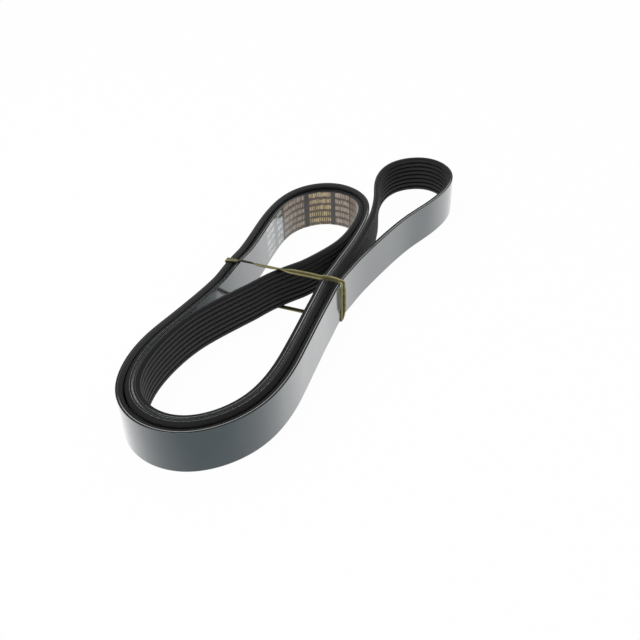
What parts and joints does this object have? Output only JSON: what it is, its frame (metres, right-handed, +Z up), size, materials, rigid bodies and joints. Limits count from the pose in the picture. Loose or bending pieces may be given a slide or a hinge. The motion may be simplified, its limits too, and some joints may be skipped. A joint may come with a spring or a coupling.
{
  "type": "ribbed serpentine belt",
  "caption": "Endless ribbed rubber belt for engine accessories, standing on its edge, folded into nested loops and held by a flat rubber band",
  "frame": {"origin": "middle of the folded bundle's bounding box, on the floor plane under the belt's lower cut edge", "axes": "+X along the bundle from the large loop to the small loop, +Y across the bundle towards the middle loop, +Z up across the belt's width"},
  "size_m": [0.3652, 0.1267, 0.033],
  "materials": {
    "belt_rubber": "satin back cover and matte ribs",
    "band_rubber": "satin"
  },
  "bodies": {
    "root": {"belt": "belt_rubber", "rubber_band": "band_rubber"}
  },
  "joints": []
}
